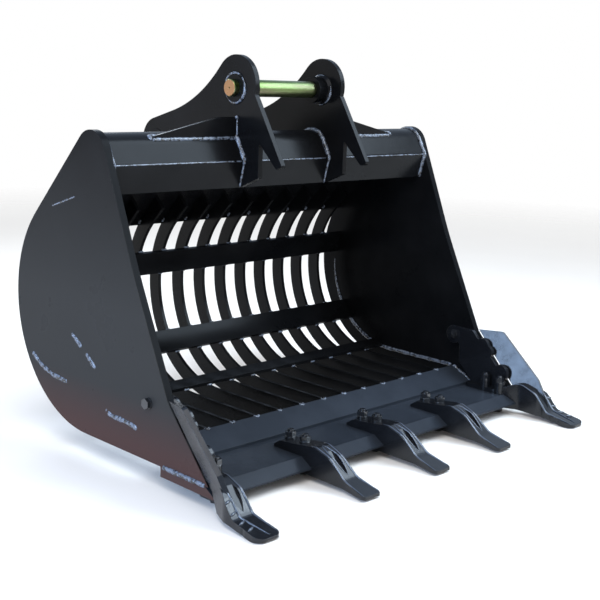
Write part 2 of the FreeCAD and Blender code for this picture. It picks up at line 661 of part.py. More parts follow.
def side_flange():
    """Upright flange on the side plate's inner face, with a bolt lug and a scalloped front edge."""
    x0, x1 = INSIDE - FLANGE_T, INSIDE
    outline = [
        (SIDE_BOLT_Y, SIDE_BOLT_Z + LUG_R),
        (FRONT_MIN_Y, SIDE_BOLT_Z + LUG_R - 4.0, 20.0),
        (-118.0, 78.0),
        (-158.0, 46.0),
        (-190.0, 10.0),
        (FLANGE_FRONT_Y, EDGE_TOP + 2.0),
        (FLANGE_FRONT_Y, EDGE_TOP),
        (-CORNER_JAW_REAR, EDGE_TOP),
        (-CORNER_JAW_REAR, EDGE_TOP + CORNER_JAW_T, 6.0),
        (-30.0, 20.0, 25.0),
        (SIDE_BOLT_Y - LUG_R + 4.0, SIDE_BOLT_Z - 30.0),
        (SIDE_BOLT_Y, SIDE_BOLT_Z),
    ]
    lobes = ((SIDE_BOLT_Y, SIDE_BOLT_Z, LUG_R), (-112.0, 84.0, 24.0), (-132.0, 69.0, 19.0), (-183.0, 14.0, 26.0))
    rounds = [rod(r, x0, x1, y, z) for y, z, r in lobes]
    flange = across(outline, x0, x1).fuse(rounds).removeSplitter()
    return flange.cut(rod(HOLE_R, x0 - 1, x1 + 1, SIDE_BOLT_Y, SIDE_BOLT_Z))


def outer_wing():
    """Blade in front of the side plate's lower edge, turned outwards about its own rear edge."""
    foot, along_edge, length = front_line()
    ahead = (-along_edge[1], along_edge[0])
    top = (FRONT_MIN_Y + ahead[0] * WING_GAP, FRONT_MIN_Z + ahead[1] * WING_GAP)

    def spot(run, width, *radius):
        y = top[0] - along_edge[0] * run + ahead[0] * width
        z = top[1] - along_edge[1] * run + ahead[1] * width
        return (y, z) + radius

    outline = [
        spot(0.0, 0.0),
        spot(WING_TOP_RUN, WING_TOP_W, 14.0),
        spot(WING_LOW_RUN, WING_LOW_W),
        spot(WING_LOW_RUN + 70.0, WING_LOW_W - 12.0),
        spot(WING_LENGTH, 0.0),
    ]
    blade = across(outline, WIDTH / 2 - WING_T, WIDTH / 2)
    hinge = FreeCAD.Vector(WIDTH / 2, top[0], top[1])
    blade.rotate(hinge, FreeCAD.Vector(0, along_edge[0], along_edge[1]), WING_ANGLE)
    return blade


def hexagon(radius_af, height):
    corner = radius_af / math.cos(math.pi / 6)
    points = [(corner * math.cos(math.pi / 3 * i), corner * math.sin(math.pi / 3 * i)) for i in range(6)]
    return upright(points, 0.0, height)


def bolt_and_nut(grip):
    """Bolt pointing up, with the underside of its head's washer at z = 0, and its nut as a second solid."""
    nut_low = grip + WASHER_T
    head = hexagon(BOLT_AF / 2, BOLT_HEAD_T)
    head.translate(FreeCAD.Vector(0, 0, -WASHER_T - BOLT_HEAD_T))
    shank = disc(BOLT_R, -WASHER_T - 1.0, nut_low + NUT_T + THREAD_END, 0, 0)
    bolt = head.fuse([disc(WASHER_R, -WASHER_T, 0.0, 0, 0), shank])
    nut = hexagon(BOLT_AF / 2, NUT_T)
    nut.translate(FreeCAD.Vector(0, 0, nut_low))
    nut = nut.fuse(disc(WASHER_R, grip, nut_low, 0, 0))
    nut = nut.cut(disc(BOLT_R, grip - 1, nut_low + NUT_T + 1, 0, 0))
    return [bolt.removeSplitter(), nut.removeSplitter()]


def tooth_bolts(x, jaw_t):
    """The two bolts of one tooth."""
    solids = []
    for y, lower in ((-BOLT_FRONT, LOWER_JAW_T), (-BOLT_REAR, 0.0)):
        for solid in bolt_and_nut(lower + EDGE_T + jaw_t):
            solid.translate(FreeCAD.Vector(x, y, EDGE_BOTTOM - lower))
            solids.append(solid)
    return Part.makeCompound(solids)


def side_bolt():
    """Bolt through the flange and the right side plate, head outside and nut inside."""
    solids = []
    for solid in bolt_and_nut(FLANGE_T + SIDE_T):
        solid.rotate(FreeCAD.Vector(0, 0, 0), FreeCAD.Vector(0, 1, 0), -90)
        solid.translate(FreeCAD.Vector(WIDTH / 2, SIDE_BOLT_Y, SIDE_BOLT_Z))
        solids.append(solid)
    return Part.makeCompound(solids)


def mirrored(shape):
    return shape.mirror(FreeCAD.Vector(0, 0, 0), FreeCAD.Vector(1, 0, 0))


def place(shape):
    """Moves a finished piece so that z = 0 is the ground and the origin is under the bucket's middle."""
    moved = shape.copy()
    moved.translate(FreeCAD.Vector(0, -MIDDLE_Y, -GROUND_Z))
    return moved


def pieces():
    """Every piece by name."""
    found = {}
    for name, shape in (
        ("side_plate", side_plate()),
        ("ear", ear()),
        ("pin_boss", pin_boss()),
        ("link_boss", link_boss()),
        ("beam_gusset", outboard_gusset()),
        ("corner_tooth", corner_tooth()),
        ("side_bolt", side_bolt()),
    ):
        found[name + "_right"] = shape
        found[name + "_left"] = mirrored(shape)
    for i in range(RIB_COUNT):
        found[f"rib_{i + 1:02d}"] = rib((i - (RIB_COUNT - 1) / 2) * RIB_PITCH)
    found["back_bar_upper"] = cross_bar(BACK_BAR_ANGLES[0], BACK_BAR_W)
    found["back_bar_lower"] = cross_bar(BACK_BAR_ANGLES[1], BACK_BAR_W)
    found["floor_bar"] = cross_bar(FLOOR_BAR_ANGLE, FLOOR_BAR_W)
    found["back_plate"] = back_plate()
    found["top_beam"] = top_beam()
    found["beam_closing_plate"] = closing_plate()
    found["lip_plate"] = lip_plate()
    found["cutting_edge"] = cutting_edge()
    found["dipper_pin"] = dipper_pin()
    for i, x in enumerate(tooth_places()):
        jaw_t = CORNER_SEAT_T if i in (0, 4) else JAW_T
        found[f"tooth_bolts_{i + 1}"] = tooth_bolts(x, jaw_t)
    for i, x in enumerate(tooth_places()[1:-1]):
        found[f"centre_tooth_{i + 1}"] = centre_tooth(x)
    return found


os.makedirs("parts", exist_ok=True)
for name, shape in pieces().items():
    place(shape).exportStep(f"parts/{name}.step")
print(len(pieces()), "pieces")
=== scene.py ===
"""Looks for the skeleton rock bucket: gloss paint, weld beads, tooth ridges, threads, studio and camera.

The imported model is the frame: metres, +X across the bucket, -Y out of its toothed front, +Z up.
Places are written from the front end of the floor ribs, in millimetres, and at() moves them into the frame.
"""
import math

import bmesh
import bpy
import numpy as np
from bpy.props import FloatProperty, FloatVectorProperty, PointerProperty
from mathutils import Matrix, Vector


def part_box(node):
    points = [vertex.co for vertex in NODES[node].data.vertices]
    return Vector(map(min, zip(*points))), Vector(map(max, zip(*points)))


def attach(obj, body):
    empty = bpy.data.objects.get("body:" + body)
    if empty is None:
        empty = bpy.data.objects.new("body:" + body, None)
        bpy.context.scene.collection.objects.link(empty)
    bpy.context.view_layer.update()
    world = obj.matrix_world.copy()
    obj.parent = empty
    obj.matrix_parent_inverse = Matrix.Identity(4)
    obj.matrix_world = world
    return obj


bl_info = {
    "name": "Skeleton Bucket Dresser",
    "version": (1, 0, 0),
    "blender": (4, 5, 0),
    "location": "View3D > Sidebar > Bucket",
    "description": "Paint, weld beads, cast ridges and threads for a skeleton rock bucket",
    "category": "Object",
}

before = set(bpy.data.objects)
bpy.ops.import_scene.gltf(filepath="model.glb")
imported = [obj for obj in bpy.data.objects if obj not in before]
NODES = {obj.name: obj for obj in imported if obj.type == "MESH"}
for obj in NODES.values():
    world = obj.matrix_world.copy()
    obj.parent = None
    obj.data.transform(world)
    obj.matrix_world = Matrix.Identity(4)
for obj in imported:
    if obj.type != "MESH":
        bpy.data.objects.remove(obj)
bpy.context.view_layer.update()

MM = 0.001

# Heights above the ground, in metres, between which painted reflections of the ground grow outside: a paler
# haze and a warm low tone
PALE_REFLECTION_TOP, PALE_REFLECTION_FULL = 0.85, 0.40
WARM_REFLECTION_TOP, WARM_REFLECTION_FULL = 0.20, 0.08

# Places across the bucket, and the shift from the ribs' front end into the frame, in millimetres
PLATE_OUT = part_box("side_plate_right")[1].x / MM
PLATE_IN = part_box("side_plate_right")[0].x / MM
EAR_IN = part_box("ear_right")[0].x / MM
EAR_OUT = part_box("ear_right")[1].x / MM
RIB_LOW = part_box("rib_07")[0]
RIB_FRONT = 51.0
RIB_DEPTH = 42.0
SHIFT_Y = RIB_LOW.y / MM + RIB_FRONT
SHIFT_Z = RIB_LOW.z / MM + RIB_DEPTH

# The heel, the top beam's outline and the bores, as (y, z) in millimetres from the ribs' front end
HEEL = (258.0, 265.0)
BOWL_R = 265.0
BACK_R = 317.0
SHOULDER = (482.15, 489.15)
FACE_FOOT = (178.15, 571.15)
FACE_TOP = (160.15, 643.15)
RIDGE = (219.65, 751.65)
SEAM = (269.65, 701.65)
FOLD_R = 12.0
CROWN_R = 53.0
EAR_FOOT = (440.0, 531.3)
PIN = (203.15, 830.15)
LINK = (540.15, 673.15)

# Lines of the beads on the plates, as (y, z)
LIP_SLOPE = [(0.0, 0.0), (-72.0, -34.0)]
LIP_TOE = [(-74.0, -41.0), (-86.0, -41.0)]
CLOSING_LINE = [(188.0, 576.0), (392.0, 576.0)]
LOW_LINE = [(-59.0, -41.0), (-215.0, -41.0)]
FAINT_STITCH = [(404.0, 524.0), (350.0, 541.0), (300.0, 557.0)]
STITCHES = (
    [(508.0, 123.0), (470.0, 98.0), (410.0, 80.0), (341.0, 76.0)],
    [(171.0, 44.0), (165.0, 40.0)],
    [(165.0, 38.0), (140.0, 33.0), (100.0, 34.0), (60.0, 31.0), (40.0, 26.0)],
    [(320.0, 210.0), (282.0, 186.0), (274.0, 181.0)],
    [(258.0, 170.0), (236.0, 154.0), (212.0, 137.0)],
)

# How deep each kind of bead sits under the plate's skin, in millimetres
STITCH_SUNK = 4.4
FAINT_SUNK = 1.6
INNER_SUNK = 0.5
LOW_SUNK = 1.0

# Bead radii and ring radii that aren't settings, in millimetres
RING_BEAD = 4.6
FAINT_BEAD = 2.6
PIN_RING_IN, PIN_RING_OUT, LINK_RING = 38.5, 38.0, 35.0

# Size factors along a bead, as (share of the run, factor)
EVEN = ((0, 1), (1, 1))
EAR_SWELL = ((0, 0.5), (0.13, 0.55), (0.17, 1.15), (0.4, 1.1), (1, 1))
RING_SWELL = ((0, 1), (0.2, 1.2), (0.35, 0.6), (0.6, 1.2), (0.85, 0.7), (1, 1))
FLOOR_SWELL = ((0, 1), (0.7, 1), (1, 0.3))

# The cross bars on the heel, as (degrees above the rearward axis, bar's width)
BARS = ((13.3, 70.0), (-39.7, 70.0), (-78.0, 46.0))
RIB_COUNT = 13

# The teeth's top lines, as (y, z), with the radius of each of their corners
TOOTH_LINE = [(-215.0, -15.2), (-254.0, -8.0), (-299.9, -24.0), (-352.1, -66.0), (-418.0, -82.5)]
TOOTH_RADII = [0, 30.0, 60.0, 50.0, 0]
CORNER_LINE = [(-215.0, -18.0), (-252.7, -3.0), (-308.7, -24.0), (-347.3, -70.0), (-430.0, -83.5)]
CORNER_RADII = [0, 45.0, 40.0, 22.0, 0]

# A centre tooth's ridges: distances down its nose, half the width between them there, and its pocket
TOOTH_RUN = (215, 254, 300, 352, 418)
TOOTH_HALF = (24.0, 21.5, 19.0, 22.0, 27.0)
POCKET_START, POCKET_END = 252.0, 345.0
POCKET_HALF = 11.0

# A corner tooth's ridges: distances down its nose, its inner flank from the plate, and its outer detail
CORNER_RUN = (215, 253, 309, 347, 430)
NOSE_IN = 8.0
OUTER_RIDGE_START = 262
KNUCKLES = (-322.0, -340.0, -368.0, -396.0)

# The tooth bolts' rows and threads
BOLT_ROWS = (-195.0, -144.0)
THREAD_R = 7.7
THREAD_PITCH = 2.0
THREAD_DEPTH = 0.5
THREAD_SHOWN = 5.2
THREAD_ABOVE = 0.2


def at(points):
    """Points given from the ribs' front end in millimetres, moved into the frame in metres."""
    moved = np.array(points, float)
    moved[:, 1] += SHIFT_Y
    moved[:, 2] += SHIFT_Z
    return moved * MM


# Curves

NEARLY_STRAIGHT = 1.56  # half a corner's angle, in radians, from which it gets no arc


def polyline(points, spacing, closed=False):
    """Evenly spaced points along the straight runs between the given ones, by their cumulative length."""
    points = np.array(points, float)
    if closed:
        points = np.vstack([points, points[:1]])
    run = np.concatenate([[0.0], np.cumsum(np.linalg.norm(np.diff(points, axis=0), axis=1))])
    count = max(4, int(round(run[-1] / spacing)) + 1)
    s = np.linspace(0.0, run[-1], count)
    even = np.stack([np.interp(s, run, points[:, k]) for k in range(3)], axis=1)
    return (even[:-1], s[:-1]) if closed else (even, s)


def arc(centre, radius, start, end, count=24):
    """(y, z) points on a circle, at even angles in degrees above the rearward axis."""
    a = np.radians(np.linspace(start, end, count))
    return np.stack([centre[0] + radius * np.cos(a), centre[1] + radius * np.sin(a)], axis=1)


def rounded(points, radii, count=9):
    """(y, z) outline with each inner corner replaced by an arc of its radius, tangent to both runs."""
    points = np.array(points, float)
    out = [points[0]]
    for i in range(1, len(points) - 1):
        a = points[i - 1] - points[i]
        b = points[i + 1] - points[i]
        a, b = a / np.linalg.norm(a), b / np.linalg.norm(b)
        half = math.acos(float(np.clip(a @ b, -1, 1))) / 2
        if radii[i] <= 0 or half > NEARLY_STRAIGHT:
            out.append(points[i])
            continue
        mid = (a + b) / np.linalg.norm(a + b)
        centre = points[i] + mid * radii[i] / math.sin(half)
        first = points[i] + a * radii[i] / math.tan(half) - centre
        last = points[i] + b * radii[i] / math.tan(half) - centre
        t = np.linspace(0, 1, count)[:, None]
        between = (1 - t) * first + t * last
        out.extend(centre + between / np.linalg.norm(between, axis=1)[:, None] * radii[i])
    out.append(points[-1])
    return np.array(out)


def on_x(outline, x):
    """A (y, z) outline at one x."""
    outline = np.array(outline, float)
    return np.column_stack([np.full(len(outline), x), outline])


# Surfaces

RING_POINTS = 8
RIPPLE_STEP = 0.3  # spacing of a bead's path, as a share of one ripple
RIPPLE_LAG = 0.35
RIPPLE_LOW, RIPPLE_HIGH = 0.84, 1.10
RISE_SHARE = 0.3
TAPER = 1.2  # length of a bead's tapered end, in its radii
THINNEST = 0.05


def tube_grid(path, radius, reference, closed):
    """Points of a tube: at each path point, a circle of that radius square to the path.

    radius is an array over (path, angle). The circle's first axis is the path's direction crossed with
    reference.
    """
    if closed:
        tangent = np.roll(path, -1, axis=0) - np.roll(path, 1, axis=0)
    else:
        tangent = np.gradient(path, axis=0)
    tangent /= np.linalg.norm(tangent, axis=1)[:, None]
    side = np.cross(tangent, reference)
    side /= np.linalg.norm(side, axis=1)[:, None]
    up = np.cross(side, tangent)
    angles = np.linspace(0, 2 * np.pi, radius.shape[1], endpoint=False)
    ring = np.cos(angles)[None, :, None] * side[:, None, :] + np.sin(angles)[None, :, None] * up[:, None, :]
    return path[:, None, :] + radius[:, :, None] * ring


def grid_faces(rows, columns, offset, closed_rows, caps=True):
    """Quads of a grid whose columns wrap round, with fans on its first and last rows where it is open."""
    r = np.arange(rows if closed_rows else rows - 1)
    c = np.arange(columns)
    a = (r[:, None] * columns + c[None, :]).ravel()
    b = (r[:, None] * columns + (c[None, :] + 1) % columns).ravel()
    up = columns * rows
    quads = np.stack([a, b, (b + columns) % up, (a + columns) % up], axis=1) + offset
    faces = [tuple(q) for q in quads.tolist()]
    if not closed_rows and caps:
        first = list(range(offset, offset + columns))
        last = list(range(offset + up - columns, offset + up))
        faces += [tuple(first[::-1]), tuple(last)]
    return faces


def weld_grid(points, reference, size, ripple, closed=False, seed=0.0, swell=EVEN):
    """Stacked ripples of a hand-laid bead.

    Along the run the radius rises quickly and falls slowly once each ripple, a chevron because the ripple's
    phase lags with the cosine of the angle. A slow wave makes the bead wander, and the ends taper to nothing.
    swell gives (share of the run, size factor) pairs.
    """
    path, s = polyline(points, ripple * RIPPLE_STEP, closed)
    theta = np.linspace(0, 2 * np.pi, RING_POINTS, endpoint=False)
    total = s[-1] + (s[1] - s[0])
    count = max(1, round(total / ripple))
    phase = s[:, None] / total * count + RIPPLE_LAG * np.cos(theta)[None, :]
    tooth = np.mod(phase, 1.0)
    rise = np.where(tooth < RISE_SHARE, tooth / RISE_SHARE, (1 - tooth) / (1 - RISE_SHARE))
    scale = RIPPLE_LOW + (RIPPLE_HIGH - RIPPLE_LOW) * rise
    wander = 1 + 0.07 * np.sin(s * 0.11 + seed) + 0.05 * np.sin(s * 0.29 + 2.1 * seed)
    radius = size * scale * (wander * np.interp(s / total, *np.transpose(swell)))[:, None]
    if not closed:
        taper = np.clip(np.minimum(s, s[-1] - s) / (TAPER * size), 0, 1)
        radius *= np.maximum(np.sqrt(1 - (1 - taper) ** 2), THINNEST)[:, None]
    return tube_grid(path, radius, np.array(reference, float), closed)


def mesh_piece(name, grids, closed=False):
    """One object made of grids whose rings are closed, set in the frame with its place in its mesh."""
    points, faces, offset = [], [], 0
    for grid in grids:
        rows, columns = grid.shape[:2]
        points.append(at(grid.reshape(-1, 3)))
        faces += grid_faces(rows, columns, offset, closed)
        offset += rows * columns
    mesh = bpy.data.meshes.new(name)
    mesh.from_pydata(np.vstack(points).tolist(), [], faces)
    mesh.validate()
    mesh.update()
    turn_outwards(mesh)
    mesh.polygons.foreach_set("use_smooth", [True] * len(mesh.polygons))
    piece = bpy.data.objects.new(name, mesh)
    bpy.context.scene.collection.objects.link(piece)
    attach(piece, "root")
    return piece


def turn_outwards(mesh):
    """Recalculates the faces so that closed shells point outwards."""
    shell = bmesh.new()
    shell.from_mesh(mesh)
    bmesh.ops.recalc_face_normals(shell, faces=shell.faces)
    shell.to_mesh(mesh)
    shell.free()


# Finishes

MIX_FIRST, MIX_SECOND, MIX_RESULT = 6, 7, 2  # a Mix node's sockets for colour
ORANGE_PEEL = 0.00006  # depth of the gloss paint's finest relief, in metres


class Finish:
    """A procedural finish: a Principled surface and short calls that wire detail into it."""

    def __init__(self, name):
        self.material = bpy.data.materials.new(name)
        self.material.use_nodes = True
        self.tree = self.material.node_tree
        self.surface = self.tree.nodes["Principled BSDF"]
        self.place = self.node("ShaderNodeTexCoord").outputs["Object"]
        self.shade = None

    def node(self, kind, **settings):
        made = self.tree.nodes.new(kind)
        for key, value in settings.items():
            setattr(made, key, value)
        return made

    def link(self, source, target):
        self.tree.links.new(source, target)

    def set(self, **values):
        for key, value in values.items():
            self.surface.inputs[key.replace("_", " ")].default_value = value

    def noise(self, scale, detail=4.0, roughness=0.55, stretch=(1, 1, 1)):
        """Noise over the piece's own place; a stretch over 1 packs it closer along that axis."""
        mapping = self.node("ShaderNodeMapping")
        mapping.inputs["Scale"].default_value = stretch
        texture = self.node("ShaderNodeTexNoise")
        texture.inputs["Scale"].default_value = scale
        texture.inputs["Detail"].default_value = detail
        texture.inputs["Roughness"].default_value = roughness
        self.link(self.place, mapping.inputs["Vector"])
        self.link(mapping.outputs["Vector"], texture.inputs["Vector"])
        return texture.outputs["Fac"]

    def span(self, value, low, high, start=0.0, end=1.0):
        """Value from low..high stretched to start..end."""
        step = self.node("ShaderNodeMapRange")
        for key, number in (("From Min", low), ("From Max", high), ("To Min", start), ("To Max", end)):
            step.inputs[key].default_value = number
        self.link(value, step.inputs["Value"])
        return step.outputs["Result"]

    def mix(self, factor, first, second):
        """Two colours mixed by a factor; either may be a plain colour or a socket."""
        blend = self.node("ShaderNodeMix", data_type="RGBA")
        self.link(factor, blend.inputs["Factor"])
        for colour, key in ((first, MIX_FIRST), (second, MIX_SECOND)):
            if isinstance(colour, bpy.types.NodeSocket):
                self.link(colour, blend.inputs[key])
            else:
                blend.inputs[key].default_value = (*colour, 1.0)
        return blend.outputs[MIX_RESULT]

    def colour(self, source):
        self.link(source, self.surface.inputs["Base Color"])

    def rough(self, value, low, high, start, end):
        self.link(self.span(value, low, high, start, end), self.surface.inputs["Roughness"])

    def relief(self, heights, edge_radius=0.0):
        """Bump from (height, distance in metres) pairs, over normals rounded along the edges."""
        normal = None
        if edge_radius > 0:
            edge = self.node("ShaderNodeBevel", samples=4)
            edge.inputs["Radius"].default_value = edge_radius
            normal = edge.outputs["Normal"]
        for height, distance in heights:
            bump = self.node("ShaderNodeBump")
            bump.inputs["Distance"].default_value = distance
            bump.inputs["Strength"].default_value = 1.0
            self.link(height, bump.inputs["Height"])
            if normal is not None:
                self.link(normal, bump.inputs["Normal"])
            normal = bump.outputs["Normal"]
        self.link(normal, self.surface.inputs["Normal"])

    def combine(self, operation, first, second=None):
        """One or two numbers through an arithmetic step."""
        step = self.node("ShaderNodeMath", operation=operation)
        self.link(first, step.inputs[0])
        if second is not None:
            self.link(second, step.inputs[1])
        return step.outputs[0]

    def axis(self, source, name):
        """One axis of a vector: of the place, or of the surface's direction."""
        split = self.node("ShaderNodeSeparateXYZ")
        self.link(source, split.inputs["Vector"])
        return split.outputs[name]

    def facing(self):
        return self.node("ShaderNodeNewGeometry").outputs["Normal"]


def gloss_paint(name, colour, roughness, sheen, edge_radius):
    """Sprayed gloss enamel over rolled plate: orange peel, slow waves and a faint haze, kept as its shade."""
    finish = Finish(name)
    haze = finish.noise(5.0, 5.0, 0.6)
    dust = [min(1.0, channel * 1.35 + 0.002) for channel in colour]
    finish.shade = finish.mix(finish.span(haze, 0.42, 0.7), colour, dust)
    finish.colour(finish.shade)
    finish.rough(haze, 0.3, 0.7, roughness - 0.02, roughness + 0.04)
    finish.set(Specular_IOR_Level=sheen)
    wave = finish.noise(18.0, 3.0, 0.5)
    grain = finish.noise(420.0, 2.0, 0.5)
    finish.relief([(wave, 0.0003), (grain, ORANGE_PEEL)], edge_radius)
    return finish


def side_paint(look):
    """The side plates' paint: outside, painted reflections of the ground, a paler haze that grows downwards
    and turns warm near the ground.
    """
    finish = gloss_paint("side_paint", tuple(look.paint), look.roughness + 0.06, look.sheen, look.edge)
    finish.set(IOR=1.3)
    height = finish.axis(finish.place, "Z")
    across = finish.combine("ABSOLUTE", finish.axis(finish.place, "X"))
    outside = finish.span(across, (PLATE_OUT - 2) * MM, (PLATE_OUT - 1) * MM)
    # Painted reflection of the ground: the outside turns a paler grey downwards
    pale_reflection_mask = finish.combine("MULTIPLY", finish.span(height, PALE_REFLECTION_TOP, PALE_REFLECTION_FULL), outside)
    # Painted reflection of the reddish ground: the outside turns warm near the ground
    warm = finish.combine("MULTIPLY", finish.span(height, WARM_REFLECTION_TOP, WARM_REFLECTION_FULL), outside)
    finish.colour(finish.mix(warm, finish.mix(pale_reflection_mask, finish.shade, tuple(look.haze)), tuple(look.low)))
    return finish.material


def lip_paint(look):
    """The lip and cutting edge's paint, lighter and bluer than the plates as a painted sky reflection, with a
    painted warm ground reflection on their sawn ends.
    """
    finish = gloss_paint("lip_paint", tuple(look.lip), look.roughness, look.sheen, look.edge)
    # Painted warm reflection of the ground on the faces that look sideways, the sawn ends
    sideways = finish.combine("ABSOLUTE", finish.axis(finish.facing(), "X"))
    finish.colour(finish.mix(finish.span(sideways, 0.6, 0.9), finish.shade, tuple(look.low)))
    return finish.material


def cast_paint(name, colour, under, edge_radius):
    """Enamel over cast steel: pebbled skin, with a warm tone painted on the faces that look down as a
    reflection of the ground.
    """
    finish = Finish(name)
    mottle = finish.noise(38.0, 5.0, 0.6)
    # Painted reflection of the reddish ground on the faces that look down
    warm = finish.mix(finish.span(finish.axis(finish.facing(), "Z"), -0.25, -0.7), colour, under)
    bright = [min(1.0, channel * 1.3 + 0.002) for channel in colour]
    finish.colour(finish.mix(finish.span(mottle, 0.5, 0.72, 0.0, 0.5), warm, bright))
    finish.rough(mottle, 0.3, 0.7, 0.16, 0.26)
    finish.set(Specular_IOR_Level=0.38)
    pebble = finish.noise(170.0, 3.0, 0.5)
    lump = finish.noise(45.0, 3.0, 0.5)
    finish.relief([(lump, 0.0003), (pebble, 0.00018)], edge_radius)
    return finish.material


def weld_paint(name, dark, bright):
    """Gloss enamel over rough ripples: mostly dark, with pale speckles painted in as glints, and sharp glints
    on the crests.
    """
    finish = Finish(name)
    glint_speckle = finish.noise(95.0, 3.0, 0.6)
    # Painted glints: noise lays pale blue-grey speckles over the dark paint
    finish.colour(finish.mix(finish.span(glint_speckle, 0.40, 0.56), dark, bright))
    finish.rough(glint_speckle, 0.3, 0.7, 0.11, 0.2)
    finish.set(Specular_IOR_Level=1.0)
    crust = finish.noise(260.0, 3.0, 0.6)
    finish.relief([(glint_speckle, 0.0012), (crust, 0.0003)])
    return finish.material


def zinc_plate(name, colour, tint, end_colour, end_x):
    """Yellow zinc: thin bands of olive, brass and rose along the pin, and a copper-toned end face."""
    finish = Finish(name)
    bands = finish.noise(34.0, 3.0, 0.55, (0.06, 1.0, 1.0))
    ramp = finish.node("ShaderNodeValToRGB")
    ramp.color_ramp.elements[0].position = 0.30
    ramp.color_ramp.elements[0].color = (*colour, 1.0)
    ramp.color_ramp.elements[1].position = 0.72
    ramp.color_ramp.elements[1].color = (*tint, 1.0)
    for position, shade in ((0.45, (0.09, 0.14, 0.03)), (0.56, (0.19, 0.25, 0.10))):
        ramp.color_ramp.elements.new(position).color = (*shade, 1.0)
    finish.link(bands, ramp.inputs["Fac"])
    at_end = finish.span(finish.axis(finish.place, "X"), end_x + 0.0012, end_x + 0.0002)
    finish.colour(finish.mix(at_end, ramp.outputs["Color"], end_colour))
    finish.set(Metallic=1.0)
    turning = finish.noise(60.0, 2.0, 0.5, (40.0, 1.0, 1.0))
    finish.rough(turning, 0.3, 0.7, 0.26, 0.4)
    finish.relief([(turning, 0.00012)], 0.0008)
    return finish.material


# Settings


def bead_setting(name, description, default):
    """A bead's radius or a ripple's length, in millimetres."""
    return FloatProperty(name=name, description=description, default=default, min=1.0)


def colour_setting(name, description, default):
    """A paint's colour."""
    return FloatVectorProperty(name=name, description=description, default=default, subtype="COLOR", size=3,
                               min=0.0, max=1.0)


def share_setting(name, description, default):
    """A number from 0 to 1."""
    return FloatProperty(name=name, description=description, default=default, min=0.0, max=1.0,
                         subtype="FACTOR")


def angle_setting(name, description, degrees):
    """An angle, given in degrees."""
    return FloatProperty(name=name, description=description, default=math.radians(degrees), subtype="ANGLE",
                         unit="ROTATION")


class BucketWelds(bpy.types.PropertyGroup):
    """Sizes of the weld beads."""

    ear_bead: bead_setting("Ear bead", "Radius of the beads along the ears", 6.8)
    plate_bead: bead_setting("Plate bead", "Radius of the beads along the plates", 5.0)
    rib_bead: bead_setting("Rib bead", "Radius of the small beads on the ribs", 3.4)
    stitch_bead: bead_setting("Stitch bead", "Radius of the flat beads outside the side plates", 8.0)
    ripple: bead_setting("Ripple", "Length of one weld ripple", 5.0)


class BucketFinish(bpy.types.PropertyGroup):
    """Colours and gloss."""

    paint: colour_setting("Paint", "Gloss paint on the plates", (0.0044, 0.0047, 0.0055))
    # Lighter, bluer colour on the teeth's ridges: a painted highlight along their edges
    ridge: colour_setting("Ridge paint", "Painted highlight on the teeth's ridges", (0.05, 0.062, 0.085))
    # Lighter, bluer colour for the lip and the cutting edge: a painted reflection of the sky
    lip: colour_setting("Lip paint", "Painted sky reflection: lighter paint on the lip and the cutting edge", (0.021, 0.026, 0.035))
    # Colour of the painted ground reflection that makes the side plates' outside paler towards the bottom
    haze: colour_setting("Haze", "Painted ground reflection, a paler haze low outside the side plates", (0.033, 0.0325, 0.032))
    cast: colour_setting("Cast paint", "Paint on the cast teeth", (0.008, 0.009, 0.0115))
    # Colour of the painted ground reflection on the teeth's faces that look down
    warm: colour_setting("Under tone", "Painted warm reflection of the ground on the teeth's low faces", (0.075, 0.050, 0.044))
    # Colour of the painted warm ground reflection low on the side plates, also painted on the lip's sawn ends
    low: colour_setting("Low tone", "Painted warm reflection of the ground low on the side plates", (0.062, 0.035, 0.032))
    # Colour of the painted glints speckled over the weld beads
    bead: colour_setting("Weld paint", "Painted glints: pale speckles over the welds", (0.13, 0.16, 0.22))
    zinc: colour_setting("Zinc", "Yellow zinc on the pin", (0.06, 0.065, 0.018))
    zinc_tint: colour_setting("Zinc tint", "Rose tint in the zinc", (0.15, 0.10, 0.085))
    pin_end: colour_setting("Pin end", "Copper tone of the pin's end face", (0.42, 0.24, 0.13))
    sheen: share_setting("Sheen", "Strength of the gloss paint's reflections", 0.10)
    roughness: share_setting("Roughness", "Roughness of the gloss paint", 0.22)
    edge: FloatProperty(name="Edge rounding", description="Radius that the paint gives to plate edges",
                        default=0.0016, min=0.0, unit="LENGTH")


class BucketStudio(bpy.types.PropertyGroup):
    """Camera, lights and floor."""

    azimuth: angle_setting("Azimuth", "Camera's direction round the bucket", -45.025)
    elevation: angle_setting("Elevation", "Camera's angle above level", 11.56)
    roll: angle_setting("Roll", "Camera's tilt about its own axis", 1.953)
    focal: FloatProperty(name="Focal length", description="Camera lens in millimetres on a 36 mm wide sensor",
                         default=65.028, min=1.0)
    camera_place: FloatVectorProperty(name="Camera", description="Camera's place", size=3, subtype="XYZ",
                                      unit="LENGTH", default=(-2.0822, -2.0584, 0.9575))
    sky: FloatProperty(name="Sky", description="Strength of the soft light all round", default=0.68, min=0.0)
    key: FloatProperty(name="Key light", description="Power that the lamps take their shares of",
                       default=100.0, min=0.0, subtype="POWER")
    floor: colour_setting("Floor", "Floor colour", (0.92, 0.895, 0.87))


def settings():
    """The sizes of the welds, the finishes and the studio."""
    return bpy.context.scene.bucket_welds, bpy.context.scene.bucket_finish, bpy.context.scene.bucket_studio


def dress(piece, material):
    """Gives a piece one material in all of its slots."""
    piece.data.materials.clear()
    piece.data.materials.append(material)


def bead_paint():
    """The paint over the welds, made on first use."""
    _, look, _ = settings()
    made = bpy.data.materials.get("weld_paint")
    return made or weld_paint("weld_paint", tuple(look.paint), tuple(look.bead))


def both_sides(make):
    """The grids that make(hand) gives for the right side and the left one."""
    return [grid for hand in (1, -1) for grid in make(hand)]


